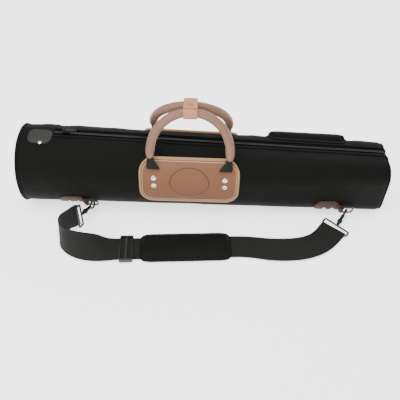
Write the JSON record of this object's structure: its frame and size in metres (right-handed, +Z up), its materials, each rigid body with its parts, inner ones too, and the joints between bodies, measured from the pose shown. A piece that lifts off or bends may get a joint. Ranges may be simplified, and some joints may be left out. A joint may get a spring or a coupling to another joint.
{
  "type": "telescope carry case",
  "caption": "Long padded carry case tapering from a round end to a squared end, with a zipped lid, leather carry handles and a clip-on shoulder strap.",
  "frame": {"origin": "on the ground under the middle of the case, measured without the strap and its hardware", "axes": "+X along the case towards the squared end, -Y the front with the leather plate, +Z up"},
  "size_m": [0.7018, 0.268, 0.224],
  "materials": {
    "padded_nylon": "woven nylon, padded",
    "lining_cloth": "brushed",
    "plastic_board": "satin",
    "zip_tape": "woven",
    "zip_coil": "satin",
    "piping": "woven",
    "black_leather": "grained",
    "tan_leather": "satin",
    "tan_leather_rim": "burnished",
    "brown_leather": "satin",
    "grip_leather": "smooth",
    "keeper_leather": "smooth",
    "nickel_rivet": "polished",
    "snap_metal": "leather covered",
    "black_metal": "satin black",
    "black_plastic": "moulded",
    "webbing": "woven webbing",
    "grip_webbing": "woven webbing",
    "pad_cloth": "woven nylon"
  },
  "bodies": {
    "base": {"front_shell": "padded_nylon", "round_end_collar": "padded_nylon", "round_end_panel": "padded_nylon", "square_end_front_panel": "padded_nylon", "base_lining": "lining_cloth", "bottom_board": "plastic_board", "front_zip_tape": "zip_tape", "front_zip_coil": "zip_coil", "front_piping": "piping", "round_end_piping": "piping", "zip_end_patch": "black_leather", "patch_rivet": "nickel_rivet", "front_plate": "tan_leather", "front_plate_rim": "tan_leather_rim", "front_plate_rivets": "nickel_rivet", "left_ring_tab": "brown_leather", "right_ring_tab": "brown_leather", "ring_tab_rivets": "nickel_rivet", "left_ring": "black_metal", "right_ring": "black_metal", "left_strap_webbing": "webbing", "right_strap_webbing": "webbing"},
    "lid": {"back_lid": "padded_nylon", "square_end_back_panel": "padded_nylon", "lid_lining": "lining_cloth", "back_zip_tape": "zip_tape", "back_zip_coil": "zip_coil", "back_piping": "piping", "back_plate": "tan_leather", "back_plate_rim": "tan_leather_rim", "back_plate_rivets": "nickel_rivet", "accessory_pocket": "padded_nylon"},
    "front_handle": {"front_grip": "grip_leather", "front_grip_webbing": "grip_webbing", "keeper_band": "keeper_leather"},
    "back_handle": {"back_grip": "grip_leather", "back_grip_webbing": "grip_webbing"},
    "keeper": {"keeper_flap": "keeper_leather", "keeper_snap": "snap_metal"},
    "zip_slider": {"zip_slider": "black_metal"},
    "zip_pull": {"zip_pull": "black_metal"},
    "left_snap_hook": {"left_hook": "black_metal", "left_swivel_loop": "black_metal", "left_strap_end": "webbing"},
    "left_gate": {"left_hook_gate": "black_metal"},
    "right_snap_hook": {"right_hook": "black_metal", "right_swivel_loop": "black_metal", "right_strap_end": "webbing"},
    "right_gate": {"right_hook_gate": "black_metal"},
    "shoulder_pad": {"shoulder_pad": "pad_cloth"},
    "strap_adjuster": {"strap_adjuster": "black_plastic"}
  },
  "joints": [
    {"name": "lid_opening", "type": "hinge", "parent": "base", "child": "lid", "pos_m": [0, 0.05508, 0.02], "axis": [-1, 0, 0], "range_deg": [0, 70]},
    {"name": "front_handle_swing", "type": "hinge", "parent": "base", "child": "front_handle", "pos_m": [-0.028, -0.0588, 0.11367], "axis": [0.9995, 0.0069, -0.0296], "range_deg": [0, 100]},
    {"name": "back_handle_swing", "type": "hinge", "parent": "lid", "child": "back_handle", "pos_m": [-0.028, 0.0588, 0.11367], "axis": [-0.9995, 0.0069, 0.0296], "range_deg": [0, 60]},
    {"name": "keeper_opening", "type": "hinge", "parent": "front_handle", "child": "keeper", "pos_m": [-0.028, -0.0161, 0.21855], "axis": [1, 0, 0], "range_deg": [0, 150], "deforming": ["keeper_flap"]},
    {"name": "zip_slide", "type": "slide", "parent": "base", "child": "zip_slider", "axis": [0.999, 0, -0.0457], "range_m": [0, 0.54]},
    {"name": "zip_pull_lift", "type": "hinge", "parent": "zip_slider", "child": "zip_pull", "pos_m": [-0.2657, 0.006, 0.14675], "axis": [0, -1, 0], "range_deg": [0, 100]},
    {"name": "left_hook_swing", "type": "hinge", "parent": "base", "child": "left_snap_hook", "pos_m": [-0.2154, -0.06311, 0.02038], "axis": [-1, 0, 0], "range_deg": [0, 18]},
    {"name": "left_gate_open", "type": "hinge", "parent": "left_snap_hook", "child": "left_gate", "pos_m": [-0.21889, -0.07111, 0.01733], "axis": [0.9032, -0.4226, 0.0754], "range_deg": [0, 20], "stiffness_Nm_per_rad": 0.02, "springref_deg": -17.19},
    {"name": "right_hook_swing", "type": "hinge", "parent": "base", "child": "right_snap_hook", "pos_m": [0.2786, -0.06025, 0.01275], "axis": [-1, 0, 0], "range_deg": [0, 18]},
    {"name": "right_gate_open", "type": "hinge", "parent": "right_snap_hook", "child": "right_gate", "pos_m": [0.27441, -0.06592, 0.0072], "axis": [0.8444, -0.5264, -0.0992], "range_deg": [0, 20], "stiffness_Nm_per_rad": 0.02, "springref_deg": -17.19},
    {"name": "pad_slide", "type": "slide", "parent": "base", "child": "shoulder_pad", "axis": [0.9982, 0.0593, 0], "range_m": [0, 0.012]},
    {"name": "adjuster_slide", "type": "slide", "parent": "base", "child": "strap_adjuster", "axis": [-0.9982, -0.0593, 0], "range_m": [0, 0.008]}
  ]
}
